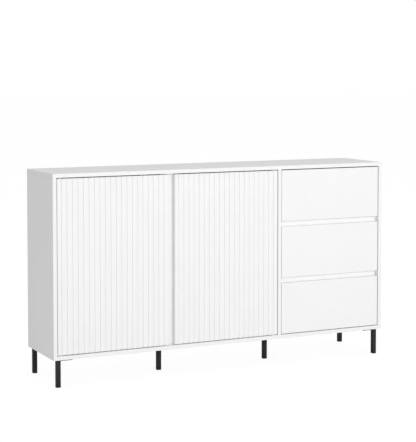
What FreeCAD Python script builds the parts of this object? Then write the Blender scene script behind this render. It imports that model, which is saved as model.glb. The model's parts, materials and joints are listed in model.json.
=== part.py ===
import FreeCAD, Part
import os
import re
import Sketcher
from FreeCAD import Placement, Rotation, Vector

# A sideboard: a carcass of 16 mm board on six steel legs, with two ribbed doors on pivot pins and
# three drawers on ball-bearing runners. Millimetres, +Z up, the front faces -Y, and the origin is
# on the floor under the middle of the sideboard.

SIZES = {
    # Carcass
    "width": 1550,
    "depth": 323,
    "carcass": 750,
    "board": 16,
    "sheet": 3,
    "sheet_inset": 2,
    # Fronts: doors and drawer fronts stand a little behind the carcass edges
    "leaf": 18,
    "recess": 2,
    "gap": 3,
    "top_gap": 4,
    "door_grip": 30,
    "drawer_grip": 24,
    "buffer": 1,
    "stop_wide": 80,
    "rail_high": 60,
    # Ribbed face of the doors
    "rib_pitch": 23.6,
    "rib_groove": 11.8,
    "rib_depth": 3,
    "rib_slope": 0.5,
    "rib_count": 20,
    # Legs: square tube welded to a screw plate, on a plastic foot
    "legs": 113,
    "tube": 18,
    "tube_wall": 1.5,
    "leg_side_inset": 16,
    "leg_front_inset": 12,
    "leg_middle_inset": 130,
    "plate": 70,
    "plate_thick": 5,
    "plate_hole": 10,
    "foot": 2,
    "foot_plug": 8,
    # Shelves
    "shelf_front": 41.5,
    "shelf_play": 1,
    "shelf_rear_play": 3.5,
    "shelf_high": 359,
    "pin_radius": 2.5,
    "pin_set": 7,
    "pin_out": 8,
    "pin_inset": 45,
    "pin_step": 32,
    # Door pivots, catches and bumpers
    "pivot_inset": 15,
    "pivot_radius": 3,
    "pivot_play": 0.05,
    "pivot_long": 25,
    "pivot_reach": 9,
    "pivot_flange": 1.95,
    "bush_radius": 5,
    "bush_long": 11,
    "bush_flange": 1,
    "flange_radius": 7,
    "catch_offset": 28,
    "catch_inset": 60,
    "magnet_radius": 5,
    "magnet_long": 12,
    "strike_radius": 8,
    "strike_thick": 1.2,
    "bumper_inset": 120,
    "bumper_radius": 4,
    "bumper_thick": 0.9,
    # Drawer boxes
    "box_lift": 28,
    "box_high": 150,
    "box_long": 280,
    "box_wall": 12,
    "box_sheet": 3,
    "box_sheet_lift": 10,
    "box_groove": 6,
    # Ball-bearing runners
    "runner_space": 12.7,
    "runner_lift": 75,
    "runner_long": 270,
    "runner_start": 7,
    "runner_steel": 1.2,
    "outer_half": 17.5,
    "outer_reach": 10,
    "outer_lip": 1.4,
    "inner_half": 10,
    "inner_reach": 8.7,
    "inner_lip": 1.4,
    "cage_start": 98.5,
    "cage_long": 70,
    "cage_steel": 0.8,
    "cage_offset": 2.5,
    "cage_reach": 7.3,
    "cage_half": 13.55,
    "ball_radius": 2.2,
    "ball_play": 0.1,
    "ball_offset": 6.9,
    "ball_centre": 13.15,
    "ball_pitch": 14,
    # Fittings
    "edge_inset": 40,
    "fitting_step": 64,
    "dowel_radius": 4,
    "dowel_long": 35,
    "fitting_set": 11,
    "bolt_radius": 3.5,
    "bolt_long": 49,
    "lock_radius": 7.5,
    "lock_long": 12.5,
    "lock_reach": 34,
    "strip_dowel": 25,
    "rail_dowel": 15,
    "screw_radius": 2,
    "screw_long": 18,
    "screw_head": 4,
    "screw_head_high": 2,
    "thin_screw_radius": 1.75,
    "thin_screw_long": 12,
    "thin_screw_head": 3.5,
    "thin_screw_head_high": 1,
    "outer_screw_inset": 35,
    "inner_screw_inset": 25,
    "box_dowel_radius": 3,
    "box_dowel_long": 35,
    "box_dowel_set": 12,
    "box_screw_radius": 2.5,
    "box_screw_long": 38,
    "box_screw_head": 4.5,
    "box_screw_head_high": 3,
    "box_fix_low": 35,
    "box_fix_high": 115,
    "nail_radius": 0.8,
    "nail_long": 18,
    "nail_head": 2,
    "nail_head_high": 0.6,
    "nail_start": 50,
    "nail_low": 90,
    "nail_seam": 4,
}

# Places, as formulas of the sizes above
LEFT = "(-width / 2)"
RIGHT = "(width / 2)"
FRONT = "(-depth / 2)"
BOARD_BACK = "(depth / 2 - sheet)"
BOARD_DEEP = "(depth - sheet)"
DECK = "(legs + board)"
LID = "(legs + carcass - board)"
INSIDE_HIGH = "(carcass - 2 * board)"
PARTITION = "((width - 4 * board) / 6 + board / 2)"
LEAF_FRONT = f"({FRONT} + recess)"
LEAF_BACK = f"({LEAF_FRONT} + leaf)"
STOP_FRONT = f"({LEAF_BACK} + buffer)"
LEAF_LOW = f"({DECK} + gap)"
LEAF_HIGH = f"({INSIDE_HIGH} - gap - top_gap)"
DOOR_WIDE = f"((width / 2 + {PARTITION} - 1.5 * board - 2 * gap - door_grip) / 2)"
LEFT_DOOR = f"({LEFT} + board + gap)"
RIGHT_DOOR = f"({PARTITION} - board / 2 - gap - {DOOR_WIDE})"
PIVOT_Y = f"({LEAF_FRONT} + leaf / 2)"
LEFT_PIVOT = f"({LEFT_DOOR} + pivot_inset)"
RIGHT_PIVOT = f"({RIGHT_DOOR} + {DOOR_WIDE} - pivot_inset)"
BAY_WIDE = "((width - 4 * board) / 3)"
DRAWER_BAY = f"({PARTITION} + board / 2)"
DRAWER_HIGH = f"(({LEAF_HIGH} - 2 * drawer_grip) / 3)"
SHELF_Z = f"({DECK} + shelf_high)"

AXES = {
    "+x": (Vector(1, 0, 0), Rotation(Vector(0, 1, 0), 90)),
    "-x": (Vector(-1, 0, 0), Rotation(Vector(0, 1, 0), -90)),
    "+y": (Vector(0, 1, 0), Rotation(Vector(1, 0, 0), -90)),
    "-y": (Vector(0, -1, 0), Rotation(Vector(1, 0, 0), 90)),
    "+z": (Vector(0, 0, 1), Rotation()),
    "-z": (Vector(0, 0, -1), Rotation(Vector(1, 0, 0), 180)),
}

doc = FreeCAD.newDocument("Sideboard")
sheet = doc.addObject("Spreadsheet::Sheet", "Sizes")
for row, (alias, value) in enumerate(SIZES.items(), start=1):
    sheet.set(f"A{row}", alias)
    sheet.set(f"B{row}", str(value))
    sheet.setAlias(f"B{row}", alias)
doc.recompute()

nodes = []


def formula(text):
    """Names in a formula are cells of the sheet."""
    return re.sub(r"[a-z_]{2,}", lambda word: "Sizes." + word.group(), text)


def bind(thing, **formulas):
    """Bind properties of an object to formulas of the sheet."""
    for name, text in formulas.items():
        thing.setExpression(name, formula(text))
    return thing


def put(thing, at, rotation=Rotation()):
    """Place an object at a point given by three formulas."""
    thing.Placement = Placement(Vector(), rotation)
    for letter, text in zip("xyz", at):
        thing.setExpression(f"Placement.Base.{letter}", formula(text))
    return thing


def slab(name, at, size):
    """A board: its low corner and its three sizes."""
    board = bind(doc.addObject("Part::Box", name), Length=size[0], Width=size[1], Height=size[2])
    return put(board, at)


def along(at, axis, distance):
    """The point a distance further along an axis."""
    direction = AXES[axis][0]
    return [
        text if not step else f"({text} {'+' if step > 0 else '-'} {distance})"
        for text, step in zip(at, direction)
    ]


def turned(name, at, axis, *steps):
    """A turned piece on an axis: each step is its start, length and radius."""
    pieces = []
    for start, length, radius in steps:
        rod = bind(doc.addObject("Part::Cylinder", name + "_step"), Radius=radius, Height=length)
        pieces.append(put(rod, along(at, axis, f"({start})"), AXES[axis][1]))
    if len(pieces) == 1:
        return pieces[0]
    whole = doc.addObject("Part::MultiFuse", name + "_turned")
    whole.Shapes = pieces
    return whole


def group(name, pieces):
    """Several loose solids held in one object."""
    whole = doc.addObject("Part::Compound", name)
    whole.Links = pieces
    return whole


def cut(name, base, tool):
    """One object less another."""
    piece = doc.addObject("Part::Cut", name)
    piece.Base = base
    piece.Tool = tool
    return piece


def node(label, thing):
    """Name a finished sub-part; its label names its file."""
    thing.Label = label
    nodes.append(thing)
    return thing


def bored(label, blank, fittings):
    """A sub-part bored for every fitting that reaches into it."""
    doc.recompute()
    box = blank.Shape.BoundBox
    reaching = [piece for piece in fittings if box.intersect(piece.Shape.BoundBox)]
    if reaching:
        blank = cut(label + "_bored", blank, group(label + "_bores", reaching))
    return node(label, blank)


def sketch(body, name, role, height="0"):
    """A sketch on one of the body's own origin planes, at a height above it."""
    flat = body.newObject("Sketcher::SketchObject", name)
    plane = next(feature for feature in body.Origin.OriginFeatures if feature.Role == role)
    flat.AttachmentSupport = [(plane, "")]
    flat.MapMode = "FlatFace"
    flat.setExpression("AttachmentOffset.Base.z", formula(height))
    return flat


def outline(flat, corners):
    """A closed outline of straight lines with every corner bound to the sheet."""
    first = flat.GeometryCount
    count = len(corners)
    for number in range(count):
        spot = Vector(number, number * number, 0)
        following = (number + 1) % count
        flat.addGeometry(Part.LineSegment(spot, Vector(following, following * following, 0)))
    for number in range(count):
        line = first + number
        after = first + (number + 1) % count
        flat.addConstraint(Sketcher.Constraint("Coincident", line, 2, after, 1))
    for number, corner in enumerate(corners):
        for kind, text in zip(("DistanceX", "DistanceY"), corner):
            place = flat.addConstraint(Sketcher.Constraint(kind, -1, 1, first + number, 1, 1.0))
            flat.setExpression(f"Constraints[{place}]", formula(text))


def rectangle(low, high):
    """Corners of a rectangle from two opposite corners."""
    return [low, (high[0], low[1]), high, (low[0], high[1])]


def pad(body, flat, length, reverse=False):
    """Pad a sketch of a body."""
    feature = body.newObject("PartDesign::Pad", "Pad")
    feature.Profile = flat
    feature.Reversed = reverse
    return bind(feature, Length=length)


# Fittings of the carcass ---------------------------------------------------------------------

dowels = []
cam_bolts = []
cam_lock_blanks = []


def dowel(at, axis):
    """A beech dowel across a joint plane; the axis points into the board that butts on it."""
    start = along(at, axis, "(-fitting_set)")
    dowels.append(turned("dowel", start, axis, ("0", "dowel_long", "dowel_radius")))


def cam(at, bolt_axis, lock_axis):
    """A cam bolt across a joint plane, and the cam lock that draws it tight."""
    start = along(at, bolt_axis, "(-fitting_set)")
    cam_bolts.append(turned("cam_bolt", start, bolt_axis, ("0", "bolt_long", "bolt_radius")))
    face = along(along(at, bolt_axis, "lock_reach"), lock_axis, "(-board / 2)")
    lock = turned("cam_lock", face, lock_axis, ("0", "lock_long", "lock_radius"))
    cam_lock_blanks.append(lock)


def panel_fittings(x, first_y, level, bolt_axis, lock_axis):
    """Two cams and two dowels along the edge of an upright panel or of the bottom."""
    last_y = f"({BOARD_BACK} - edge_inset)"
    cam((x, first_y, level), bolt_axis, lock_axis)
    cam((x, last_y, level), bolt_axis, lock_axis)
    dowel((x, f"({first_y} + fitting_step)", level), bolt_axis)
    dowel((x, f"({last_y} - fitting_step)", level), bolt_axis)


SIDE_CAM_Y = f"({FRONT} + edge_inset)"
DOOR_PARTITION_Y = f"({STOP_FRONT} + board)"
panel_fittings(f"({LEFT} + board / 2)", SIDE_CAM_Y, LID, "-z", "-x")
panel_fittings(f"({RIGHT} - board / 2)", SIDE_CAM_Y, LID, "-z", "+x")
panel_fittings(f"({LEFT} + board)", SIDE_CAM_Y, "(legs + board / 2)", "+x", "+z")
panel_fittings(f"({RIGHT} - board)", SIDE_CAM_Y, "(legs + board / 2)", "-x", "+z")
for x, first_y in ((f"(-{PARTITION})", f"({DOOR_PARTITION_Y} + edge_inset)"), (PARTITION, SIDE_CAM_Y)):
    panel_fittings(x, first_y, LID, "-z", "+x")
    panel_fittings(x, first_y, DECK, "+z", "+x")

STRIP_Y = f"({STOP_FRONT} + board / 2)"
for offset in ("+ strip_dowel", "- strip_dowel"):
    dowel((f"(-{PARTITION} {offset})", STRIP_Y, LID), "-z")
    dowel((f"(-{PARTITION} {offset})", STRIP_Y, DECK), "+z")
RAIL_LEVELS = {
    "lower": f"({LEAF_LOW} + {DRAWER_HIGH} + drawer_grip / 2)",
    "upper": f"({LEAF_LOW} + 2 * {DRAWER_HIGH} + 1.5 * drawer_grip)",
}
for level in RAIL_LEVELS.values():
    for offset in ("+ rail_dowel", "- rail_dowel"):
        dowel((DRAWER_BAY, STRIP_Y, f"({level} {offset})"), "+x")
        dowel((f"({RIGHT} - board)", STRIP_Y, f"({level} {offset})"), "-x")

# Shelf pins, with one spare hole above and one below each
shelf_pins = []
spare_holes = []
SHELF_FRONT = f"({FRONT} + shelf_front)"
for x, axis in (
    (f"({LEFT} + board)", "+x"),
    (f"(-{PARTITION} - board / 2)", "-x"),
    (f"(-{PARTITION} + board / 2)", "+x"),
    (f"({PARTITION} - board / 2)", "-x"),
):
    for y in (f"({SHELF_FRONT} + pin_inset)", f"({BOARD_BACK} - pin_inset)"):
        spot = along((x, y, f"({SHELF_Z} - pin_radius)"), axis, "(-pin_set)")
        shelf_pins.append(turned("shelf_pin", spot, axis, ("0", "pin_set + pin_out", "pin_radius")))
        for offset in ("pin_step", "(-pin_step)"):
            hole = along(spot, "+z", offset)
            spare_holes.append(turned("spare_hole", hole, axis, ("0", "pin_set", "pin_radius")))

# Door pivots: bushes in the top and bottom panels, pins in the doors
pivot_bushes = []
pivot_pins = {"left": [], "right": []}
running_bores = []
for side, x in (("left", LEFT_PIVOT), ("right", RIGHT_PIVOT)):
    for level, axis, space in ((DECK, "-z", "gap"), (LID, "+z", "top_gap")):
        at = (x, PIVOT_Y, level)
        flange = ("-bush_flange", "bush_flange", "flange_radius")
        bush = turned("bush", at, axis, ("0", "bush_long", "bush_radius"), flange)
        bore = turned(
            "running_bore",
            at,
            axis,
            ("-bush_flange", "bush_flange + bush_long", "pivot_radius + pivot_play"),
        )
        pivot_bushes.append(cut("pivot_bush", bush, bore))
        running_bores.append(bore)
        pin = turned(
            "pin",
            at,
            axis,
            (f"-{space} - pivot_long", f"{space} + pivot_long + pivot_reach", "pivot_radius"),
            (f"-{space}", "pivot_flange", "flange_radius"),
        )
        pivot_pins[side].append(pin)

# Magnets and bumpers on the stop strip, steel strikes on the doors
magnets = []
bumpers = []
strikes = {"left": [], "right": []}
for side, x in (("left", f"(-{PARTITION} - catch_offset)"), ("right", f"(-{PARTITION} + catch_offset)")):
    for level, axis in ((DECK, "+z"), (LID, "-z")):
        catch = along((x, STOP_FRONT, level), axis, "catch_inset")
        magnets.append(turned("magnet", catch, "+y", ("0", "magnet_long", "magnet_radius")))
        strike = along((x, LEAF_BACK, level), axis, "catch_inset")
        strikes[side].append(turned("strike", strike, "-y", ("0", "strike_thick", "strike_radius")))
        bumper = along((x, STOP_FRONT, level), axis, "bumper_inset")
        bumpers.append(turned("bumper", bumper, "-y", ("0", "bumper_thick", "bumper_radius")))

# Legs: the name of each, the centre of its tube, and the quarter turns of its plate
LEG_X = "(width / 2 - leg_side_inset - tube / 2)"
LEG_FRONT_Y = f"({FRONT} + leg_front_inset + tube / 2)"
LEG_BACK_Y = f"({BOARD_BACK} - tube / 2)"
LEG_MIDDLE_Y = f"({FRONT} + leg_middle_inset + tube / 2)"
LEGS = {
    "leg_front_left": (f"(-{LEG_X})", LEG_FRONT_Y, 0),
    "leg_front_right": (LEG_X, LEG_FRONT_Y, 1),
    "leg_back_right": (LEG_X, LEG_BACK_Y, 2),
    "leg_back_left": (f"(-{LEG_X})", LEG_BACK_Y, 3),
    "leg_middle_left": (f"(-{PARTITION})", LEG_MIDDLE_Y, None),
    "leg_middle_right": (PARTITION, LEG_MIDDLE_Y, None),
}


def screw(at, axis):
    """A chipboard screw through a leg plate."""
    head = ("-screw_head_high", "screw_head_high", "screw_head")
    return turned("screw", at, axis, head, ("0", "screw_long", "screw_radius"))


def thin_screw(at, axis):
    """A short screw through a runner."""
    head = ("-thin_screw_head_high", "thin_screw_head_high", "thin_screw_head")
    return turned("thin_screw", at, axis, head, ("0", "thin_screw_long", "thin_screw_radius"))


carcass_screws = []
PLATE_NEAR = "(plate_hole - tube / 2)"
PLATE_FAR = "(plate - plate_hole - tube / 2)"
PLATE_HALF = "(plate / 2 - plate_hole)"
for x, y, turns in LEGS.values():
    if turns is None:
        spots = [(a + PLATE_HALF, b + PLATE_HALF) for a in "+-" for b in "+-"]
    else:
        inward = ("+-"[turns in (1, 2)], "+-"[turns in (2, 3)])
        spots = [
            (inward[0] + a, inward[1] + b)
            for a, b in ((PLATE_FAR, PLATE_FAR), (PLATE_FAR, PLATE_NEAR), (PLATE_NEAR, PLATE_FAR))
        ]
    for dx, dy in spots:
        carcass_screws.append(screw((f"({x} {dx})", f"({y} {dy})", "(legs - plate_thick)"), "+z"))

# Runners: for each drawer, one on the partition and one on the right side
DRAWERS = {
    "bottom": LEAF_LOW,
    "middle": f"({LEAF_LOW} + {DRAWER_HIGH} + drawer_grip)",
    "top": f"({LEAF_LOW} + 2 * ({DRAWER_HIGH} + drawer_grip))",
}
WALLS = {"left": (DRAWER_BAY, "+x"), "right": (f"({RIGHT} - board)", "-x")}
RUNNER_Y = f"({LEAF_BACK} + runner_start)"
for low in DRAWERS.values():
    level = f"({low} + box_lift + runner_lift)"
    for wall, axis in WALLS.values():
        into_wall = {"+x": "-x", "-x": "+x"}[axis]
        for y in (f"({RUNNER_Y} + outer_screw_inset)", f"({RUNNER_Y} + runner_long - outer_screw_inset)"):
            face = along((wall, y, level), axis, "runner_steel")
            carcass_screws.append(thin_screw(face, into_wall))

# Nails of the back sheets: rows along the top and bottom, columns along the upright boards
nails = []


def nail(x, z):
    """A nail flush with the outer face of the back sheet."""
    head = ("-nail_head_high", "nail_head_high", "nail_head")
    at = (x, f"({BOARD_BACK} + sheet - nail_head_high)", z)
    nails.append(turned("nail", at, "-y", head, ("0", "nail_long", "nail_radius")))


ROW_NAILS = 13
COLUMN_NAILS = 5
for number in range(ROW_NAILS):
    x = f"(({LEFT} + nail_start) + {number} * (width - 2 * nail_start) / {ROW_NAILS - 1})"
    nail(x, "(legs + board / 2)")
    nail(x, f"({LID} + board / 2)")
for x in (
    f"({LEFT} + board / 2)",
    f"({RIGHT} - board / 2)",
    f"(-{PARTITION})",
    f"({PARTITION} - nail_seam)",
    f"({PARTITION} + nail_seam)",
):
    for number in range(COLUMN_NAILS):
        step = f"{number} * ({INSIDE_HIGH} - 2 * nail_low) / {COLUMN_NAILS - 1}"
        nail(x, f"({DECK} + nail_low + {step})")

fittings = dowels + cam_bolts + cam_lock_blanks + shelf_pins + spare_holes
fittings += pivot_bushes + running_bores + magnets + carcass_screws + nails

# Boards of the carcass -----------------------------------------------------------------------

BOARDS = {
    "top_panel": ((LEFT, FRONT, LID), ("width", BOARD_DEEP, "board")),
    "bottom_panel": ((f"{LEFT} + board", FRONT, "legs"), ("width - 2 * board", BOARD_DEEP, "board")),
    "left_side": ((LEFT, FRONT, "legs"), ("board", BOARD_DEEP, "carcass - board")),
    "right_side": ((f"{RIGHT} - board", FRONT, "legs"), ("board", BOARD_DEEP, "carcass - board")),
    "door_partition": (
        (f"-{PARTITION} - board / 2", DOOR_PARTITION_Y, DECK),
        ("board", f"{BOARD_BACK} - {DOOR_PARTITION_Y}", INSIDE_HIGH),
    ),
    "drawer_partition": ((f"{PARTITION} - board / 2", FRONT, DECK), ("board", BOARD_DEEP, INSIDE_HIGH)),
    "door_stop_strip": (
        (f"-{PARTITION} - stop_wide / 2", STOP_FRONT, DECK),
        ("stop_wide", "board", INSIDE_HIGH),
    ),
    "back_sheet_doors": (
        (f"{LEFT} + sheet_inset", BOARD_BACK, "legs + sheet_inset"),
        (f"{PARTITION} + width / 2 - sheet_inset", "sheet", "carcass - 2 * sheet_inset"),
    ),
    "back_sheet_drawers": (
        (PARTITION, BOARD_BACK, "legs + sheet_inset"),
        (f"width / 2 - {PARTITION} - sheet_inset", "sheet", "carcass - 2 * sheet_inset"),
    ),
}
for level, height in RAIL_LEVELS.items():
    BOARDS[f"drawer_rail_{level}"] = (
        (DRAWER_BAY, STOP_FRONT, f"{height} - rail_high / 2"),
        (BAY_WIDE, "board", "rail_high"),
    )
for name, (at, size) in BOARDS.items():
    bored(name, slab(name + "_blank", at, size), fittings)

for side, x in (("left", f"{LEFT} + board"), ("right", f"-{PARTITION} + board / 2")):
    size = (f"{BAY_WIDE} - 2 * shelf_play", f"{BOARD_DEEP} - shelf_front - shelf_rear_play", "board")
    node(f"shelf_{side}", slab(f"shelf_{side}", (f"{x} + shelf_play", SHELF_FRONT, SHELF_Z), size))

node("wood_dowels", group("wood_dowels", dowels))
node("cam_bolts", group("cam_bolts", cam_bolts))
bored("cam_locks", group("cam_lock_blanks", cam_lock_blanks), cam_bolts)
node("shelf_pins", group("shelf_pins", shelf_pins))
node("pivot_bushes", group("pivot_bushes", pivot_bushes))
node("catch_magnets", group("catch_magnets", magnets))
node("door_bumpers", group("door_bumpers", bumpers))
node("carcass_screws", group("carcass_screws", carcass_screws))
node("back_nails", group("back_nails", nails))

# Legs ----------------------------------------------------------------------------------------

feet = []
for name, (x, y, turns) in LEGS.items():
    body = doc.addObject("PartDesign::Body", name + "_blank")
    near = "-plate / 2" if turns is None else "-tube / 2"
    far = "plate / 2" if turns is None else "plate - tube / 2"
    top = sketch(body, "PlateOutline", "XY_Plane", "legs - plate_thick")
    outline(top, rectangle((near, near), (far, far)))
    pad(body, top, "plate_thick")
    section = sketch(body, "TubeSection", "XY_Plane", "foot")
    outline(section, rectangle(("-tube / 2", "-tube / 2"), ("tube / 2", "tube / 2")))
    hollow = "(tube / 2 - tube_wall)"
    outline(section, rectangle((f"-{hollow}", f"-{hollow}"), (hollow, hollow)))
    pad(body, section, "legs - plate_thick - foot")
    put(body, (x, y, "0"), Rotation(Vector(0, 0, 1), 90 * (turns or 0)))
    bored(name, body, carcass_screws)
    cap = slab("foot_cap", (f"{x} - tube / 2", f"{y} - tube / 2", "0"), ("tube", "tube", "foot"))
    size = f"2 * {hollow}"
    plug = slab("foot_plug", (f"{x} - {hollow}", f"{y} - {hollow}", "foot"), (size, size, "foot_plug"))
    foot = doc.addObject("Part::Fuse", "foot")
    foot.Base = cap
    foot.Tool = plug
    feet.append(foot)
node("leg_foot_pads", group("leg_foot_pads", feet))

# Doors ---------------------------------------------------------------------------------------

for side, x in (("left", LEFT_DOOR), ("right", RIGHT_DOOR)):
    body = doc.addObject("PartDesign::Body", f"door_{side}_blank")
    base = sketch(body, "Outline", "XY_Plane")
    outline(base, rectangle(("0", "0"), (DOOR_WIDE, "leaf")))
    pad(body, base, LEAF_HIGH)
    # Ribs: straight grooves with slightly sloping flanks, repeated at an even pitch over the width
    last = f"({DOOR_WIDE} - (rib_count - 1) * rib_pitch) / 2"
    first = f"{last} - rib_groove"
    groove = sketch(body, "Groove", "XY_Plane")
    corners = [
        (first, "0"),
        (last, "0"),
        (f"{last} - rib_slope", "rib_depth"),
        (f"{first} + rib_slope", "rib_depth"),
    ]
    outline(groove, corners)
    doc.recompute()
    plain = body.Shape.Volume
    pocket = body.newObject("PartDesign::Pocket", "Rib")
    pocket.Profile = groove
    pocket.Type = "ThroughAll"
    pocket.Reversed = True
    ribs = body.newObject("PartDesign::LinearPattern", "Ribs")
    ribs.Originals = [pocket]
    ribs.Direction = (groove, ["H_Axis"])
    bind(ribs, Length="(rib_count - 1) * rib_pitch", Occurrences="rib_count")
    body.Tip = ribs
    doc.recompute()
    if body.Shape.Volume > plain - 1:
        raise ValueError("the ribs of a door cut nothing")
    put(body, (x, LEAF_FRONT, LEAF_LOW))
    bored(f"door_{side}", body, pivot_pins[side] + strikes[side])
    node(f"pivot_pins_{side}", group(f"pivot_pins_{side}", pivot_pins[side]))
    node(f"strike_plates_{side}", group(f"strike_plates_{side}", strikes[side]))

# Runner sections: x away from the wall, z up from the middle of the runner --------------------


def runner_section(name, upper_half, length, wall, axis, start, level):
    """A folded strip, the same above and below its middle, running back from its start."""
    body = doc.addObject("PartDesign::Body", name)
    flat = sketch(body, "Section", "XZ_Plane")
    lower_half = [(x, f"-({z})") for x, z in reversed(upper_half)]
    outline(flat, upper_half + lower_half)
    pad(body, flat, length, reverse=True)
    turn = Rotation() if axis == "+x" else Rotation(Vector(0, 1, 0), 180)
    return put(body, (wall, start, level), turn)


OUTER_SECTION = [
    ("runner_steel", "outer_half - runner_steel"),
    ("outer_reach - runner_steel", "outer_half - runner_steel"),
    ("outer_reach - runner_steel", "outer_half - runner_steel - outer_lip"),
    ("outer_reach", "outer_half - runner_steel - outer_lip"),
    ("outer_reach", "outer_half"),
    ("0", "outer_half"),
]
INNER_SECTION = [
    ("runner_space - runner_steel", "inner_half - runner_steel"),
    ("runner_space - inner_reach", "inner_half - runner_steel"),
    ("runner_space - inner_reach", "inner_half + inner_lip"),
    ("runner_space - inner_reach + runner_steel", "inner_half + inner_lip"),
    ("runner_space - inner_reach + runner_steel", "inner_half"),
    ("runner_space", "inner_half"),
]
CAGE_SECTION = [
    ("cage_offset + cage_steel", "cage_half - cage_steel"),
    ("cage_offset + cage_reach", "cage_half - cage_steel"),
    ("cage_offset + cage_reach", "cage_half"),
    ("cage_offset", "cage_half"),
]
BALLS = 5

outer_channels = []
for drawer, low in DRAWERS.items():
    level = f"({low} + box_lift + runner_lift)"
    for wall, axis in WALLS.values():
        channel = runner_section("outer", OUTER_SECTION, "runner_long", wall, axis, RUNNER_Y, level)
        outer_channels.append(channel)
bored("runner_outer_channels", group("outer_channel_blanks", outer_channels), carcass_screws)


def ball_cage(drawer, low):
    """The two ball cages of a drawer, each with a row of balls above and below."""
    level = f"({low} + box_lift + runner_lift)"
    start = f"({LEAF_BACK} + cage_start)"
    strips = []
    balls = []
    pockets = []
    for wall, axis in WALLS.values():
        strips.append(runner_section("cage", CAGE_SECTION, "cage_long", wall, axis, start, level))
        for number in range(BALLS):
            y = f"({start} + cage_long / 2 + {number - (BALLS - 1) / 2} * ball_pitch)"
            for sign in "+-":
                at = along((wall, y, f"({level} {sign} ball_centre)"), axis, "ball_offset")
                ball = bind(doc.addObject("Part::Sphere", "ball"), Radius="ball_radius")
                balls.append(put(ball, at))
                hole = ("-ball_radius", "2 * ball_radius", "ball_radius + ball_play")
                pockets.append(turned("ball_pocket", at, "+z", hole))
    cages = cut("cages", group("cage_strips", strips), group("ball_pockets", pockets))
    node(f"runner_cages_{drawer}", group(f"runner_cages_{drawer}", [cages] + balls))


# Drawers -------------------------------------------------------------------------------------

for drawer, low in DRAWERS.items():
    name = f"drawer_{drawer}"
    bottom = f"({low} + box_lift)"
    left = f"({DRAWER_BAY} + runner_space)"
    right = f"({RIGHT} - board - runner_space)"
    box_back = f"({LEAF_BACK} + box_long)"
    level = f"({bottom} + runner_lift)"

    # Dowels into the front, screws into the back, and the screws of the inner channels
    fixings = []
    for x, axis, screw_axis in ((left, "+x", "+x"), (right, "-x", "-x")):
        middle = along((x, LEAF_BACK, bottom), axis, "(box_wall / 2)")
        outside = along((x, box_back, bottom), axis, "box_screw_head_high")
        for height in ("box_fix_low", "box_fix_high"):
            at = along(along(middle, "+z", height), "-y", "box_dowel_set")
            fixings.append(turned("box_dowel", at, "+y", ("0", "box_dowel_long", "box_dowel_radius")))
            at = along(along(outside, "+z", height), "-y", "(box_wall / 2)")
            head = ("-box_screw_head_high", "box_screw_head_high", "box_screw_head")
            shank = ("0", "box_screw_long", "box_screw_radius")
            fixings.append(turned("box_screw", at, screw_axis, head, shank))
        for y in (
            f"({RUNNER_Y} + inner_screw_inset)",
            f"({RUNNER_Y} + runner_long - inner_screw_inset)",
        ):
            face = along((x, y, level), axis, "(-runner_steel)")
            fixings.append(thin_screw(face, axis))

    sheet_low = f"({bottom} + box_sheet_lift)"
    tray_x = f"({left} + box_wall - box_groove)"
    tray_wide = f"({right} - {left} - 2 * box_wall + 2 * box_groove)"
    tray_at = (tray_x, f"({LEAF_BACK} - box_groove)", sheet_low)
    tray = slab(name + "_tray", tray_at, (tray_wide, "box_long + box_groove", "box_sheet"))
    node(f"{name}_bottom", tray)

    face_at = (f"{DRAWER_BAY} + gap", LEAF_FRONT, low)
    face = slab(name + "_face", face_at, (f"{BAY_WIDE} - 2 * gap", "leaf", DRAWER_HIGH))
    bored(f"{name}_front", cut(name + "_grooved", face, tray), fixings)
    for side, x in (("left", left), ("right", f"{right} - box_wall")):
        wall = slab(f"{name}_{side}_wall", (x, LEAF_BACK, bottom), ("box_wall", "box_long", "box_high"))
        bored(f"{name}_{side}_side", cut(f"{name}_{side}_grooved", wall, tray), fixings)
    back_at = (f"{left} + box_wall", f"{box_back} - box_wall", f"{sheet_low} + box_sheet")
    back_size = (f"{right} - {left} - 2 * box_wall", "box_wall", "box_high - box_sheet_lift - box_sheet")
    bored(f"{name}_back", slab(name + "_back_blank", back_at, back_size), fixings)

    inner_channels = [
        runner_section("inner", INNER_SECTION, "runner_long", wall, axis, RUNNER_Y, level)
        for wall, axis in WALLS.values()
    ]
    bored(f"{name}_inner_channels", group(name + "_channel_blanks", inner_channels), fixings)
    node(f"{name}_fixings", group(f"{name}_fixings", fixings))
    ball_cage(drawer, low)

# Check every object, then write each sub-part -------------------------------------------------

doc.recompute()
for thing in doc.Objects:
    if "Invalid" in thing.State or "Error" in thing.State:
        raise ValueError(f"{thing.Name} did not compute")
for thing in nodes:
    if thing.Shape.isNull() or not thing.Shape.isValid():
        raise ValueError(f"{thing.Label} has no valid shape")

os.makedirs("parts", exist_ok=True)
for thing in nodes:
    thing.Shape.exportStep(f"parts/{thing.Label}.step")
    print(f"{thing.Label:28s} {len(thing.Shape.Solids):3d} solids {thing.Shape.Volume / 1000:10.2f} cm3")
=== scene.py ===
# %% [markdown]
# # A white sideboard on six black legs
# The sideboard is a box of white board with two ribbed doors and three plain drawers. Its sizes, its
# joints and its fittings come ready made as a fixed frame. This lesson builds the surfaces and the
# finishes around that frame: board with softly broken edges, milled ribs under a matt white skin,
# powder-coated steel, and zinc fittings inside.

import json
import math

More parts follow.
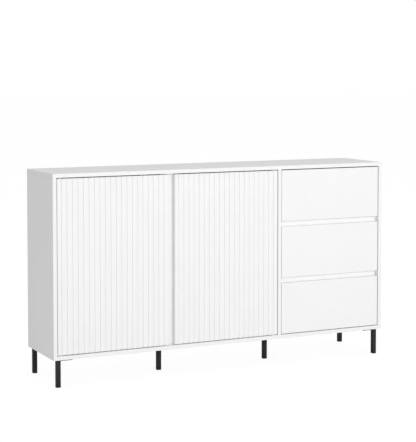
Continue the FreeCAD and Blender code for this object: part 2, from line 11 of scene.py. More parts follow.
import bmesh
import bpy
import numpy as np
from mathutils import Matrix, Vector

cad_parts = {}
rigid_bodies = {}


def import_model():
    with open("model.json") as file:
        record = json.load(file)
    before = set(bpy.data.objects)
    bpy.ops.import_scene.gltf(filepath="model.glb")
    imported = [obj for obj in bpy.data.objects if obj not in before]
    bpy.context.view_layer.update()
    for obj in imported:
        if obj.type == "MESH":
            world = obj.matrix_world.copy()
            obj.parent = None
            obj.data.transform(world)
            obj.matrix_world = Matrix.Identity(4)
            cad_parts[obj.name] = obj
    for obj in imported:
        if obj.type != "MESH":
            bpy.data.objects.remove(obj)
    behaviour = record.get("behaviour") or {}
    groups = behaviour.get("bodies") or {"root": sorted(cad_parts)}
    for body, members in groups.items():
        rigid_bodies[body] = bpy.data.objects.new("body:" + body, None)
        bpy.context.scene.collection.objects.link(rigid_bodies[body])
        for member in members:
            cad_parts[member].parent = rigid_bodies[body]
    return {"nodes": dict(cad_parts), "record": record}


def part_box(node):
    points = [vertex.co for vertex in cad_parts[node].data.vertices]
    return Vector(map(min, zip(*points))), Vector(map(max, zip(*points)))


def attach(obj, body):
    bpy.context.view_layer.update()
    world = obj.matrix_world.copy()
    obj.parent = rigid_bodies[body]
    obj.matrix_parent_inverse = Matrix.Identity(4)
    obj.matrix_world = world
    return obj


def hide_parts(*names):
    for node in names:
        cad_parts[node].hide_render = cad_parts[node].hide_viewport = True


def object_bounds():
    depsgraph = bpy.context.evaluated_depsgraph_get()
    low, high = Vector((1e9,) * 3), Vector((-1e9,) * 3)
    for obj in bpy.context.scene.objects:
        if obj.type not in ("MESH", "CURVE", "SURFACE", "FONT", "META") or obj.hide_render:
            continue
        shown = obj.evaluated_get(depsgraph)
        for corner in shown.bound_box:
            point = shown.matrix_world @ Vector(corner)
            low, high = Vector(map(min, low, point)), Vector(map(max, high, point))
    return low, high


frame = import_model()
cad_box = [list(corner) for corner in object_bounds()]

# %% [markdown]
# ## The camera
# A long lens, well away from the sideboard, keeps its wide front almost free of perspective. The
# camera looks slightly down, and a small vertical shift of the lens keeps the upright edges nearly
# parallel, as is usual for tall buildings.

# %% Camera
FLOOR = cad_box[0][2]
CAMERA_PLACE = (-2.5799, -5.2664, 1.2885)
CAMERA_YAW = 26.01
CAMERA_PITCH = 3.145
FOCAL_LENGTH = 110.74
LENS_SHIFT = -0.18

eye = bpy.data.cameras.new("camera")
eye.lens = FOCAL_LENGTH
eye.sensor_width = 36.0
eye.shift_y = LENS_SHIFT
eye.clip_end = 200.0
camera = bpy.data.objects.new("camera", eye)
camera.location = CAMERA_PLACE
camera.rotation_euler = (math.radians(90 - CAMERA_PITCH), 0, math.radians(-CAMERA_YAW))
bpy.context.collection.objects.link(camera)
bpy.context.scene.camera = camera
bpy.context.scene.view_settings.view_transform = "Standard"
print("camera at", CAMERA_PLACE, "looking down by", CAMERA_PITCH, "degrees")

# %% [markdown]
# ## Writing shader maths as Python
# A finish is a network of nodes. Wiring each one by hand hides the idea, so one small class wraps an
# output socket: plus, minus, times and the rest add Math nodes, and one method adds any other node.
# A finish is then three makers, for colour, roughness and bump, each given the place on the piece.


# %% Wires
class Wire:
    """An output socket of a material. Arithmetic on a wire adds Math nodes to its tree."""

    def __init__(self, tree, socket):
        self.tree = tree
        self.socket = socket

    def node(self, kind, settings=None, inputs=None, output=0):
        """Add a node: its settings first, then values or wires for its sockets."""
        added = self.tree.nodes.new(kind)
        for name, value in (settings or {}).items():
            setattr(added, name, value)
        for name, value in (inputs or {}).items():
            if isinstance(value, Wire):
                self.tree.links.new(value.socket, added.inputs[name])
            else:
                added.inputs[name].default_value = value
        return Wire(self.tree, added.outputs[output])

    def math(self, operation, first, second=0.0):
        return self.node("ShaderNodeMath", {"operation": operation}, {0: first, 1: second})

    def __add__(self, other):
        return self.math("ADD", self, other)

    def __sub__(self, other):
        return self.math("SUBTRACT", self, other)

    def __mul__(self, other):
        return self.math("MULTIPLY", self, other)

    def __truediv__(self, other):
        return self.math("DIVIDE", self, other)

    __radd__ = __add__
    __rmul__ = __mul__

    def __rsub__(self, other):
        return self.math("SUBTRACT", other, self)

    def __rtruediv__(self, other):
        return self.math("DIVIDE", other, self)

    def __abs__(self):
        return self.math("ABSOLUTE", self)

    def ramp(self, low, high, start=0.0, end=1.0):
        """A straight ramp from start to end as the wire goes from low to high, flat outside."""
        inputs = {"Value": self, "From Min": low, "From Max": high, "To Min": start, "To Max": end}
        return self.node("ShaderNodeMapRange", {"clamp": True}, inputs)

    def noise(self, scale, detail=2.0, roughness=0.5):
        """Cloudy noise, about 0.5 in the middle; the wire is a place."""
        inputs = {"Vector": self, "Scale": scale, "Detail": detail, "Roughness": roughness}
        return self.node("ShaderNodeTexNoise", {}, inputs)

    def stretch(self, factors):
        """The place with each axis scaled, to draw a pattern out along one of them."""
        inputs = {"Vector": self, "Scale": factors}
        return self.node("ShaderNodeMapping", {}, inputs)

    def tint(self, dark, light):
        """Between two greys or colours by the wire. Sockets 6 and 7 of a Mix node are its colours."""
        inputs = {0: self, 6: (*dark, 1.0), 7: (*light, 1.0)}
        return self.node("ShaderNodeMix", {"data_type": "RGBA"}, inputs, output=2)

    def bump(self, height, strength=1.0):
        """Bump from this wire; its full swing stands for a height in metres."""
        inputs = {"Height": self, "Distance": height, "Strength": strength}
        return self.node("ShaderNodeBump", {}, inputs)


print("wire operations:", [name for name in vars(Wire) if not name.startswith("__")])


# %% A finish from three makers
def grey(level):
    """A neutral colour."""
    return (level, level, level)


def finish(name, colour, roughness, normal, metallic=0.0, specular=0.5):
    """A principled material. Each maker is given the place on the piece and returns a wire."""
    material = bpy.data.materials.new(name)
    material.use_nodes = True
    tree = material.node_tree
    shader = tree.nodes["Principled BSDF"]
    place = Wire(tree, tree.nodes.new("ShaderNodeTexCoord").outputs["Object"])
    shader.inputs["Metallic"].default_value = metallic
    shader.inputs["Specular IOR Level"].default_value = specular
    for socket, maker in (("Base Color", colour), ("Roughness", roughness), ("Normal", normal)):
        tree.links.new(maker(place).socket, shader.inputs[socket])
    return material


print("a finish sets: Base Color, Roughness, Normal")

# %% [markdown]
# ## Clouding, pebble and wear
# Nearly every surface here varies in the same three ways, only at another scale: the tone clouds
# a little, the gloss wanders with handling, and the skin is pressed into fine pebbles. Each way is
# one function that returns a maker, so that a finish reads as a short list of its qualities.


# %% Makers for clouding, pebble and wear
def along_y(place):
    """The y of a place, as a wire."""
    return place.node("ShaderNodeSeparateXYZ", {}, {"Vector": place}, "Y")


def clouded(level, swing, scale=7.0):
    """A white that wanders a little in tone over the width of a hand."""

    def maker(place):
        return place.noise(scale, 3.0).ramp(0.3, 0.7).tint(grey(level - swing), grey(level))

    return maker


def pebble(scale, height, fine=0.35):
    """A pressed pebble: soft cells, with a finer noise on top of them."""

    def maker(place):
        inputs = {"Vector": place, "Scale": scale}
        cells = place.node("ShaderNodeTexVoronoi", {"feature": "SMOOTH_F1"}, inputs)
        return (cells + place.noise(scale * 2.3, 2.0) * fine).bump(height)

    return maker


def wandering(level, swing, scale=30.0):
    """Roughness that wanders with handling and with the press."""

    def maker(place):
        return place.noise(scale, 4.0).ramp(0.3, 0.7, level - swing, level + swing)

    return maker


print("makers:", clouded.__name__, pebble.__name__, wandering.__name__)

# %% [markdown]
# ## White finishes
# Melamine-faced board is printed paper pressed with a fine pebble, and the edges carry a band of
# plastic whose seam shows as a hairline just behind the front edge. The fronts wear a matt foil,
# which is smoother. Both are nearly white: what the eye reads is the pebble and slight clouding.
# The rails between the drawers stand back in a gap; their white is painted brighter than the rest,
# painted light for the gap.

# %% White board and foil
BAND_SEAM = cad_box[0][1] + 0.001
SEAM_HALF = 0.00012
SEAM_TONE = 0.72
WHITE = 0.86
# painted light: the rails get a brighter white to stand in for light in their recessed gap
RAIL_PAINTED_LIGHT_WHITE = 0.94


def board_colour(place):
    """Clouded white with the hairline of the edge band across it."""
    seam = abs(along_y(place) - BAND_SEAM).ramp(SEAM_HALF, 2 * SEAM_HALF, SEAM_TONE, 1.0)
    tone = place.noise(7.0, 3.0).ramp(0.3, 0.7, 0.98, 1.0)
    return (seam * tone).tint(grey(0.0), grey(WHITE))


board_sheen, board_pebble = wandering(0.46, 0.05), pebble(1500.0, 0.00003)
foil_sheen, foil_pebble = wandering(0.5, 0.04), pebble(2400.0, 0.000012)
white_board = finish("white_melamine", board_colour, board_sheen, board_pebble)
# the same board as white_board, with a painted-light brighter white for the rails
painted_light_rail = finish("painted_light_rail_board", clouded(RAIL_PAINTED_LIGHT_WHITE, 0.01), board_sheen, board_pebble)
white_front = finish("white_foil", clouded(WHITE, 0.012), foil_sheen, foil_pebble)
white_hardboard = finish(
    "white_hardboard",
    clouded(0.8, 0.05, 160.0),
    wandering(0.58, 0.06, 90.0),
    pebble(900.0, 0.00006, 0.8),
)
print("white finishes:", white_board.name, painted_light_rail.name, white_front.name, white_hardboard.name)

# %% [markdown]
# The ribbed doors are milled from thick board and wrapped in the same foil. Their colour carries a
# painted shade: the tone darkens a little with the depth behind the door's face, towards the floor of
# each groove.

# %% Ribbed foil
DOOR_FACE = float(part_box("door_left")[0][1])
RIB_DEPTH = 0.003
# strength of the painted shade in the grooves
RIB_PAINTED_SHADE = 0.01


def ribbed_painted_shade_colour(place):
    """Clouded white, with a painted shade a trace darker towards the floor of each groove."""
    # painted shade: the white is darkened by the depth into a groove
    depth = along_y(place).ramp(DOOR_FACE, DOOR_FACE + RIB_DEPTH)
    tone = place.noise(7.0, 3.0).ramp(0.3, 0.7, 0.985, 1.0)
    return ((1.0 - depth * RIB_PAINTED_SHADE) * tone).tint(grey(0.0), grey(WHITE))


ribbed_front = finish("white_ribbed_foil", ribbed_painted_shade_colour, foil_sheen, foil_pebble)
print("door face at y =", round(DOOR_FACE, 4), "and grooves", RIB_DEPTH, "deep")

# %% [markdown]
# ## Black and metal finishes
# Powder coat melts into a fine orange peel with a dull sheen. Bright zinc has a faint spangle, and
# rolled strip is drawn out along its length.


# %% Powder coat, and makers for zinc
def spangled(dark, light, scale):
    """Flat flakes of slightly different brightness."""

    def maker(place):
        flakes = place.node("ShaderNodeTexVoronoi", {}, {"Vector": place, "Scale": scale}, "Color")
        level = flakes.node("ShaderNodeSeparateColor", {}, {"Color": flakes})
        return (level * 0.6 + place.noise(scale * 0.2, 3.0) * 0.4).tint(dark, light)

    return maker


def drawn(dark, light):
    """Fine lines along y, the way the strip was rolled."""

    def maker(place):
        return place.stretch((900.0, 12.0, 900.0)).noise(1.0, 4.0).ramp(0.25, 0.75).tint(dark, light)

    return maker


def drawn_bump(place):
    """The same lines as fine scratches."""
    return place.stretch((1400.0, 20.0, 1400.0)).noise(1.0, 3.0).bump(0.00001)


def coat_colour(place):
    """A black that clouds between two near greys."""
    return place.noise(60.0, 5.0).ramp(0.3, 0.7).tint(grey(0.013), grey(0.019))


black_coat = finish(
    "black_powder_coat",
    coat_colour,
    wandering(0.55, 0.06, 50.0),
    pebble(1100.0, 0.00004),
    specular=0.3,
)
black_plastic = finish(
    "black_foot_plastic",
    coat_colour,
    wandering(0.62, 0.05, 80.0),
    pebble(1800.0, 0.00003),
    specular=0.25,
)
print("black finishes:", black_coat.name, black_plastic.name)

# %% [markdown]
# The fittings are mostly zinc, and each kind takes it differently: screws are plated bright, cam
# locks are cast and duller, runners are rolled strip, and the magnets are nickel.

# %% Metals of the fittings
bright_zinc = finish(
    "bright_zinc",
    spangled((0.5, 0.51, 0.53), (0.68, 0.69, 0.7), 700.0),
    wandering(0.32, 0.08, 120.0),
    pebble(2200.0, 0.00001),
    metallic=1.0,
)
cast_zinc = finish(
    "cast_zinc",
    spangled((0.36, 0.37, 0.38), (0.52, 0.52, 0.53), 420.0),
    wandering(0.5, 0.08, 90.0),
    pebble(1300.0, 0.00004),
    metallic=1.0,
)
rolled_zinc = finish(
    "rolled_zinc",
    drawn((0.5, 0.51, 0.52), (0.72, 0.73, 0.74)),
    wandering(0.34, 0.07, 60.0),
    drawn_bump,
    metallic=1.0,
)
nickel = finish(
    "nickel_magnet",
    spangled((0.52, 0.51, 0.49), (0.66, 0.65, 0.62), 900.0),
    wandering(0.22, 0.05, 90.0),
    pebble(2600.0, 0.000006),
    metallic=1.0,
)
print("metals:", bright_zinc.name, cast_zinc.name, rolled_zinc.name, nickel.name)

# %% [markdown]
# Bushes are white plastic and the bumpers are clear rubber. Beech dowels show only where a joint
# stands open, but they still get their grain: long thin flecks along the dowel.

# %% Bush plastic, bumper rubber and beech
white_plastic = finish(
    "white_bush_plastic",
    clouded(0.8, 0.03, 90.0),
    wandering(0.4, 0.04),
    pebble(2000.0, 0.00001),
)
soft_rubber = finish(
    "clear_bumper_rubber",
    clouded(0.62, 0.05, 200.0),
    wandering(0.35, 0.05),
    pebble(900.0, 0.00003),
)


def beech_colour(place):
    """Long flecks between a tan and a paler straw."""
    flecks = place.stretch((260.0, 260.0, 40.0)).noise(1.0, 4.0)
    return flecks.ramp(0.3, 0.7).tint((0.5, 0.33, 0.17), (0.66, 0.48, 0.28))


def beech_bump(place):
    """Shallow pores drawn out along z."""
    return place.stretch((500.0, 500.0, 60.0)).noise(1.0, 3.0).bump(0.00005)


beech = finish("beech", beech_colour, wandering(0.6, 0.06, 100.0), beech_bump)
print("other finishes:", white_plastic.name, soft_rubber.name, beech.name)

# %% [markdown]
# ## Surfaces from outlines
# Every piece here is an outline carried along a line. The points are worked out as whole arrays:
# rows along the line, columns round the outline. The two ends are closed with one flat face each.


# %% Outlines and their ends
def rounded(corners, reach, steps=4):
    """Round each corner of a closed outline by a quadratic curve.

    It leaves the line at reach before the corner, is pulled towards the corner, and joins the
    line again at reach after it.
    """
    corners = np.asarray(corners, dtype=float)
    before = np.roll(corners, 1, axis=0) - corners
    after = np.roll(corners, -1, axis=0) - corners
    before /= np.linalg.norm(before, axis=1, keepdims=True)
    after /= np.linalg.norm(after, axis=1, keepdims=True)
    reach = np.broadcast_to(reach, len(corners))[:, None]
    start, end = corners + before * reach, corners + after * reach
    t = np.linspace(0.0, 1.0, steps + 1)[None, :, None]
    curve = (1 - t) ** 2 * start[:, None] + 2 * t * (1 - t) * corners[:, None] + t**2 * end[:, None]
    return curve.reshape(-1, 2)


def outward(outline):
    """The unit normals of an outline drawn anticlockwise.

    Each is the way from the point before to the point after, turned clockwise by a quarter turn.
    """
    tangent = np.roll(outline, -1, axis=0) - np.roll(outline, 1, axis=0)
    tangent /= np.linalg.norm(tangent, axis=1, keepdims=True)
    return np.stack([tangent[:, 1], -tangent[:, 0]], axis=1)


def broken_ends(low, high, edge, steps=3):
    """Heights and insets of the rows from low to high, with a quarter circle at both ends.

    At angle t the inset is edge (1 - sin t) and the rise from the end is edge (1 - cos t).
    """
    turn = np.linspace(0.0, math.pi / 2, steps + 1)
    inset = edge * (1 - np.sin(turn))
    rise = edge * (1 - np.cos(turn))
    heights = np.concatenate([low + rise, high - rise[::-1]])
    return heights, np.concatenate([inset, inset[::-1]])


unit_square = rounded([(0, 0), (1, 0), (1, 1), (0, 1)], 0.1)
print("points round a rounded square:", len(unit_square))

# %% [markdown]
# An outline becomes a surface when it is repeated up a stack of heights, and each copy is drawn in
# or let out along its own normals. Joining every row of points to the next gives the skin.


# %% Swept surfaces
def closed_skin(grid):
    """Join the points of a grid, a row to the next row and the last column to the first."""
    rows, columns = grid.shape[:2]
    here = np.arange(rows * columns).reshape(rows, columns)
    there = np.roll(here, -1, axis=1)
    quads = np.stack([here[:-1], there[:-1], there[1:], here[1:]], axis=-1).reshape(-1, 4)
    faces = quads.tolist() + [here[0, ::-1].tolist(), here[-1].tolist()]
    return grid.reshape(-1, 3), faces


def sweep(outline, heights, insets, spread=None):
    """Carry an outline up the heights, drawn in by inset times spread along its outward normals."""
    normals = outward(outline)
    if spread is not None:
        normals = normals * spread[:, None]
    flat = outline[None] - normals[None] * np.asarray(insets)[:, None, None]
    level = np.broadcast_to(np.asarray(heights)[:, None, None], (*flat.shape[:2], 1))
    return closed_skin(np.concatenate([flat, level], axis=2))


def together(*parts):
    """Several surfaces as one list of points and faces."""
    points, faces, shift = [], [], 0
    for part_points, part_faces in parts:
        points.append(part_points)
        faces += [[corner + shift for corner in face] for face in part_faces]
        shift += len(part_points)
    return np.concatenate(points), faces


unit_points, unit_faces = sweep(unit_square, [0, 1], [0, 0])
print("a swept square has", len(unit_points), "points and", len(unit_faces), "faces")

# %% [markdown]
# ## From a surface to a piece
# Every new piece stands for one node of the frame. It rides on that node's body and hides that node,
# so one function says both. Its normals are weighted by the size of the faces: large flat faces stay
# flat, and the thin rounded edges between them take up the turn.

# %% Pieces
bodies = frame["record"]["behaviour"]["bodies"]
body_of = {node: body for body, nodes in bodies.items() for node in nodes}
slot_of = {part["node"]: part["material_slot"] for part in frame["record"]["subparts"]}


def stand_for(made, node):
    """Link a made object, let it ride on its node's body, and hide the node it replaces."""
    bpy.context.collection.objects.link(made)
    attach(made, body_of[node])
    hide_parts(node)
    return made


def weigh_normals(made):
    """Add the modifier that turns the normals towards the larger faces."""
    weighted = made.modifiers.new("face_weights", "WEIGHTED_NORMAL")
    weighted.weight = 100
    return weighted


def piece(name, surface, material, node):
    """Make a smooth mesh object from points and faces, in the place of a frame node."""
    points, faces = surface
    mesh = bpy.data.meshes.new(name)
    mesh.from_pydata(points.tolist(), [], faces)
    work = bmesh.new()
    work.from_mesh(mesh)
    bmesh.ops.remove_doubles(work, verts=work.verts, dist=1e-6)
    work.to_mesh(mesh)
    work.free()
    mesh.polygons.foreach_set("use_smooth", np.ones(len(mesh.polygons), dtype=bool))
    mesh.materials.append(material)
    made = bpy.data.objects.new(name, mesh)
    weigh_normals(made)
    return stand_for(made, node)


print("nodes with a body:", len(body_of), "and with a slot:", len(slot_of))

# %% [markdown]
# ## Plain boards
# A sawn and banded board is a block whose edges are broken by less than a millimetre. The outline
# is the board's cross-section with rounded corners, carried along its longest side.


# %% Plain boards
BOARD_EDGE = 0.0007
FRONT_EDGE = 0.001
SHEET_EDGE = 0.0003


def board_surface(low, high, edge):
    """A block between two corners with every edge rounded, swept along its longest side."""
    low, high = np.asarray(low, dtype=float), np.asarray(high, dtype=float)
    axis = int(np.argmax(high - low))
    first, second = (axis + 1) % 3, (axis + 2) % 3
    corners = [
        (low[first], low[second]),
        (high[first], low[second]),
        (high[first], high[second]),
        (low[first], high[second]),
    ]
    heights, insets = broken_ends(low[axis], high[axis], edge)
    points, faces = sweep(rounded(corners, edge), heights, insets)
    placed = np.empty_like(points)
    placed[:, first], placed[:, second], placed[:, axis] = points.T
    return placed, faces


def board(node, material, edge=BOARD_EDGE):
    """Replace a frame node by a board with broken edges, in the same box."""
    return piece(node + "_board", board_surface(*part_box(node), edge), material, node)


DRAWERS = ("top", "middle", "bottom")
plain_boards = ["top_panel", "bottom_panel", "shelf_left", "shelf_right"]
plain_boards += [f"drawer_{drawer}_back" for drawer in DRAWERS]
rails = ["drawer_rail_upper", "drawer_rail_lower"]
for node in plain_boards:
    board(node, white_board)
for node in rails:
    # the rails take the painted-light white
    board(node, painted_light_rail)
for drawer in DRAWERS:
    board(f"drawer_{drawer}_front", white_front, FRONT_EDGE)
    board(f"drawer_{drawer}_bottom", white_hardboard, SHEET_EDGE)
print("plain boards:", len(plain_boards) + len(rails) + 2 * len(DRAWERS))

# %% [markdown]
# ## Bored boards
# Sides and partitions are bored for cams, shelf pins and screws, and those holes show when a door
# stands open. Drawing each hole again would only repeat the frame, so these boards start from a
# copy of the frame's own mesh. The copy is merged, its flat faces are joined, and only its long
# edges are given a bevel, so that the small rims of the holes stay crisp.


# %% Bored boards
LONG_EDGE = 0.012
FLAT_ANGLE = math.radians(1.0)
SHARP_ANGLE = math.radians(60.0)


def bored_board(node, material, edge=BOARD_EDGE):
    """A copy of a bored node with its long sharp edges rounded."""
    work = bmesh.new()
    work.from_mesh(frame["nodes"][node].data)
    bmesh.ops.remove_doubles(work, verts=work.verts, dist=1e-6)
    bmesh.ops.dissolve_limit(work, angle_limit=FLAT_ANGLE, verts=work.verts, edges=work.edges)
    weights = work.edges.layers.float.new("bevel_weight_edge")
    for line in work.edges:
        sharp = len(line.link_faces) == 2 and line.calc_face_angle(0.0) > SHARP_ANGLE
        long = line.calc_length() > LONG_EDGE
        line[weights] = 1.0 if sharp and long else 0.0
        line.smooth = long or not sharp
    for face in work.faces:
        face.smooth = True
    mesh = bpy.data.meshes.new(node + "_bored")
    work.to_mesh(mesh)
    work.free()
    mesh.materials.append(material)
    made = bpy.data.objects.new(node + "_bored", mesh)
    bevel = made.modifiers.new("broken_edges", "BEVEL")
    bevel.limit_method = "WEIGHT"
    bevel.width = edge
    bevel.segments = 3
    weigh_normals(made).keep_sharp = True
    return stand_for(made, node)


bored = ["left_side", "right_side", "door_partition", "drawer_partition", "door_stop_strip"]
bored += [f"drawer_{drawer}_{side}_side" for drawer in DRAWERS for side in ("left", "right")]
for node in bored:
    bored_board(node, white_board)
for node in ("back_sheet_doors", "back_sheet_drawers"):
    bored_board(node, white_hardboard, SHEET_EDGE)
print("bored boards:", len(bored) + 2)

# %% [markdown]
# ## Ribbed doors
# A cutter with slightly sloping flanks runs up the whole door, twenty times at an even pitch, and
# the foil rounds every corner of the cut. The outline of the door seen from above holds all the
# ribs, and it is carried up the height of the door. The top and bottom ends are broken like the
# edges of the boards.

# %% Ribbed doors
RIB_COUNT = 20
RIB_PITCH = 0.0236
RIB_GROOVE = 0.0118
RIB_SLOPE = 0.0005
RIB_ROUND = 0.0007
DOOR_EDGE = 0.00054


def ribbed_outline(low, high):
    """The door seen from above, anticlockwise: along the ribbed face, then round the flat back.

    Groove n ends at an even margin plus n times the pitch, and its floor lies a rib's depth in.
    """
    last = (high[0] - low[0] - (RIB_COUNT - 1) * RIB_PITCH) / 2
    ends = low[0] + last + RIB_PITCH * np.arange(RIB_COUNT)
    starts = ends - RIB_GROOVE
    top = np.full(RIB_COUNT, low[1])
    floor = top + RIB_DEPTH
    groove = np.stack(
        [
            np.stack([starts, top], axis=1),
            np.stack([starts + RIB_SLOPE, floor], axis=1),
            np.stack([ends - RIB_SLOPE, floor], axis=1),
            np.stack([ends, top], axis=1),
        ],
        axis=1,
    ).reshape(-1, 2)
    back = [(high[0], low[1]), (high[0], high[1]), (low[0], high[1])]
    return np.concatenate([[(low[0], low[1])], groove, back])


def ribbed_door(side):
    """A door with its ribs, in the box of the frame's door."""
    node = f"door_{side}"
    low, high = (np.array(corner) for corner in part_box(node))
    outline = rounded(ribbed_outline(low, high), RIB_ROUND)
    surface = sweep(outline, *broken_ends(low[2], high[2], DOOR_EDGE))
    return piece(node + "_ribbed", surface, ribbed_front, node)


for side in ("left", "right"):
    made = ribbed_door(side)
    print(made.name, "points:", len(made.data.vertices))

# %% [markdown]
# ## Strike plates
# Each magnet meets a small steel disc let into the back of the door and held by one countersunk
# screw. A disc is a profile of radius and height turned round an axis.


# %% Strike plates
def turned(profile, centre, spokes=40):
    """Turn (radius, height) points about an axis along y through a centre.

    At angle a, x is radius times sin a, z is radius times cos a, and y is the height.
    """
    radius, rise = np.asarray(profile, dtype=float).T
    angle = np.linspace(0.0, 2 * math.pi, spokes, endpoint=False)
    x = centre[0] + radius[:, None] * np.sin(angle)[None]
    y = centre[1] + np.broadcast_to(rise[:, None], (len(rise), spokes))
    z = centre[2] + radius[:, None] * np.cos(angle)[None]
    return closed_skin(np.stack([x, y, z], axis=-1))


STRIKE_PROUD = 0.0003
STRIKE_PROFILE = [
    (0.0076, -0.0004),
    (0.0080, 0.0),
    (0.0079, 0.8 * STRIKE_PROUD),
    (0.0076, STRIKE_PROUD),
    (0.0034, STRIKE_PROUD),
    (0.0030, 0.3 * STRIKE_PROUD),
    (0.0027, 0.7 * STRIKE_PROUD),
    (0.0012, 0.9 * STRIKE_PROUD),
    (0.0010, 0.0),
    (0.0004, -0.0002),
]


def strike_plates(side):
    """The two discs on the back of a door."""
    node = f"strike_plates_{side}"
    low, high = (np.array(corner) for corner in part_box(node))
    radius = (high[0] - low[0]) / 2
    levels = (low[2] + radius, high[2] - radius)
    discs = [turned(STRIKE_PROFILE, ((low[0] + high[0]) / 2, high[1], level)) for level in levels]
    return piece(node + "_discs", together(*discs), bright_zinc, node)


for side in ("left", "right"):
    made = strike_plates(side)
    print(made.name, "points:", len(made.data.vertices))

# %% [markdown]
# ## Legs
# A leg is square steel tube welded to a plate. Tube has rounded corners, the plate is stamped with
# round corners too, and the weld leaves a small bead where the two meet. On a corner leg the tube
# stands flush with two edges of the plate, so the bead runs only on the two inner sides.

# %% Legs
TUBE = 0.018
TUBE_ROUND = 0.0013
PLATE = 0.005
PLATE_ROUND = 0.005
PLATE_EDGE = 0.0006
BEAD = 0.0022


def square(centre, half, reach):
    """A square outline about a centre with rounded corners, anticlockwise."""
    signs = np.array([(-1, -1), (1, -1), (1, 1), (-1, 1)])
    return rounded(np.asarray(centre) + half * signs, reach, steps=6)


def tube_centre(node, low, high):
    """Where the tube stands on its plate, in a corner or in the middle, and the way inwards."""
    x_side = -1 if "left" in node else 1
    y_side = -1 if "front" in node else 1
    middle = (low[:2] + high[:2]) / 2
    if "middle" in node:
        return middle, np.zeros(2)
    offset = (high[:2] - low[:2] - TUBE) / 2 * np.array([x_side, y_side])
    return middle + offset, -np.array([x_side, y_side], dtype=float)


def beaded_tube(centre, inward, bottom, top):
    """A tube that flares by a quarter turn into its weld bead, on the sides that face inwards."""
    outline = square(centre, TUBE / 2, TUBE_ROUND)
    facing = outward(outline) @ inward if inward.any() else np.ones(len(outline))
    turn = np.linspace(0.0, math.pi / 2, 6)
    heights = np.concatenate([[bottom, top - 2 * BEAD], top - BEAD * (1 - np.sin(turn))])
    insets = np.concatenate([[0.0, 0.0], -BEAD * (1 - np.cos(turn))])
    return sweep(outline, heights, insets, np.clip(facing, 0.0, 1.0))


places = ("back_left", "back_right", "front_left", "front_right", "middle_left", "middle_right")
tube_centres = []
for node in (f"leg_{place}" for place in places):
    low, high = (np.array(corner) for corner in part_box(node))
    plate_low = high[2] - PLATE
    centre, inward = tube_centre(node, low, high)
    tube_centres.append(centre)
    tube = beaded_tube(centre, inward, low[2], plate_low)
    plate_outline = square((low[:2] + high[:2]) / 2, (high[0] - low[0]) / 2, PLATE_ROUND)
    plate = sweep(plate_outline, *broken_ends(plate_low, high[2], PLATE_EDGE))
    piece(node + "_tube", together(tube, plate), black_coat, node)
print("legs:", len(tube_centres))

# %% [markdown]
# Each tube stands on a moulded plastic foot, as wide as the tube. Its edge is rounded at the
# floor, so that it doesn't dig in.

# %% Feet
FOOT = 0.002
FOOT_ROUND = 0.0008


def foot_surface(centre):
    """A cap under a tube: rounded by a quarter turn at the floor, full width at the steel."""
    turn = np.linspace(0.0, math.pi / 2, 5)
    heights = np.concatenate([FLOOR + FOOT_ROUND * (1 - np.cos(turn)), [FLOOR + FOOT]])
    insets = np.concatenate([FOOT_ROUND * (1 - np.sin(turn)), [0.0]])
    return sweep(square(centre, TUBE / 2, TUBE_ROUND), heights, insets)


feet = together(*(foot_surface(centre) for centre in tube_centres))
made = piece("leg_feet", feet, black_plastic, "leg_foot_pads")
print(made.name, "points:", len(made.data.vertices))

# %% [markdown]
# ## Fittings that keep their frame shape
# Cams, screws, pins, bushes and runners are already the right shape, so they keep their meshes and
# only take on their metal or plastic.

# %% Fittings
fitting_finish = {
    "zinc_alloy": cast_zinc,
    "zinc_steel": bright_zinc,
    "runner_steel": rolled_zinc,
    "magnet": nickel,
    "white_plastic": white_plastic,
    "clear_rubber": soft_rubber,
    "beech": beech,
}
dressed = 0
for node, thing in frame["nodes"].items():
    material = fitting_finish.get(slot_of[node])
    if material is None or thing.name not in bpy.context.scene.objects:
        continue
    thing.data.materials.clear()
    thing.data.materials.append(material)
    dressed += 1
print("fittings dressed:", dressed)

# %% [markdown]
# ## The floor
# The floor is a pale matt card, and it lights the sideboard from below as card does. The camera
# sees it mostly as an even white glow, with a trace of the card mixed in, so that it runs into the
# white backdrop and still carries a very faint shadow under the legs.

# %% Floor
FLOOR_HALF = 60.0
FLOOR_SHADE = 0.15
FLOOR_GLOW = 1.08


def floor_material():
    """A pale floor. It lights the sideboard as matt card does, and is seen mostly as a white glow."""
    material = bpy.data.materials.new("pale_floor")
    material.use_nodes = True
    tree = material.node_tree
    card = tree.nodes["Principled BSDF"]
    card.inputs["Base Color"].default_value = (0.8, 0.8, 0.8, 1.0)
    card.inputs["Roughness"].default_value = 0.9
    card.inputs["Specular IOR Level"].default_value = 0.1
    seen = Wire(tree, tree.nodes.new("ShaderNodeLightPath").outputs["Is Camera Ray"])
    matt = Wire(tree, card.outputs["BSDF"])
    glow = seen.node("ShaderNodeEmission", {}, {"Strength": FLOOR_GLOW})
    mixed = seen.node("ShaderNodeMixShader", {}, {0: seen * (1.0 - FLOOR_SHADE), 1: matt, 2: glow})
    tree.links.new(mixed.socket, tree.nodes["Material Output"].inputs["Surface"])
    return material


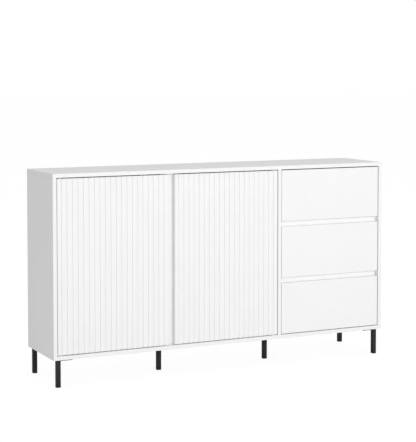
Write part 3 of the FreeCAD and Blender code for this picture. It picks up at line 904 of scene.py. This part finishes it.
floor_mesh = bpy.data.meshes.new("floor")
corners = [(x * FLOOR_HALF, y * FLOOR_HALF, FLOOR) for x, y in ((-1, -1), (1, -1), (1, 1), (-1, 1))]
floor_mesh.from_pydata(corners, [], [(0, 1, 2, 3)])
floor_mesh.materials.append(floor_material())
floor = bpy.data.objects.new("floor", floor_mesh)
bpy.context.collection.objects.link(floor)
print("floor at z =", FLOOR, "out to", FLOOR_HALF)

# %% [markdown]
# ## The lamps
# Two large soft lamps stand well in front, a little above a person's eyes. The right one is the
# stronger, so the front is brightest at the drawers and the left side falls into a soft shade. A
# weak lamp overhead lifts the top.


# %% Lamps
def lamp(name, place, target, size, power):
    """A soft rectangular lamp aimed at a point, hidden from the camera."""
    light = bpy.data.lights.new(name, "AREA")
    light.shape = "RECTANGLE"
    light.size, light.size_y = size
    light.energy = power
    stand = bpy.data.objects.new(name, light)
    stand.location = place
    aim = Vector(target) - Vector(place)
    stand.rotation_euler = aim.to_track_quat("-Z", "Y").to_euler()
    stand.visible_camera = False
    bpy.context.collection.objects.link(stand)
    return stand


MIDDLE = (0.0, 0.0, 0.45)
TOP = (0.0, 0.0, 0.86)
lamps = [
    lamp("right_lamp", (2.0, -6.8, 2.4), MIDDLE, (2.4, 1.6), 152.0),
    lamp("left_lamp", (-3.0, -6.2, 1.9), MIDDLE, (2.4, 1.6), 67.0),
    lamp("top_lamp", (0.0, -0.3, 4.5), TOP, (3.0, 2.0), 18.0),
]
print("lamps:", [stand.name for stand in lamps])

# %% [markdown]
# The surround is even and white. It fills the shadows at one strength and is seen by the camera at
# another, so the background is pure white without washing out the sideboard.

# %% Backdrop
AMBIENT = 0.63
BACKDROP = 1.02
world = bpy.data.worlds.new("studio")
bpy.context.scene.world = world
world.use_nodes = True
world_tree = world.node_tree
background = world_tree.nodes["Background"]
background.inputs["Color"].default_value = (1.0, 1.0, 1.0, 1.0)
seen = Wire(world_tree, world_tree.nodes.new("ShaderNodeLightPath").outputs["Is Camera Ray"])
strength = seen * (BACKDROP - AMBIENT) + AMBIENT
world_tree.links.new(strength.socket, background.inputs["Strength"])
print("the surround lights with", AMBIENT, "and is seen as", BACKDROP)

# %% [markdown]
# ## The frame's box
# The surfaces must stay inside the frame's box.
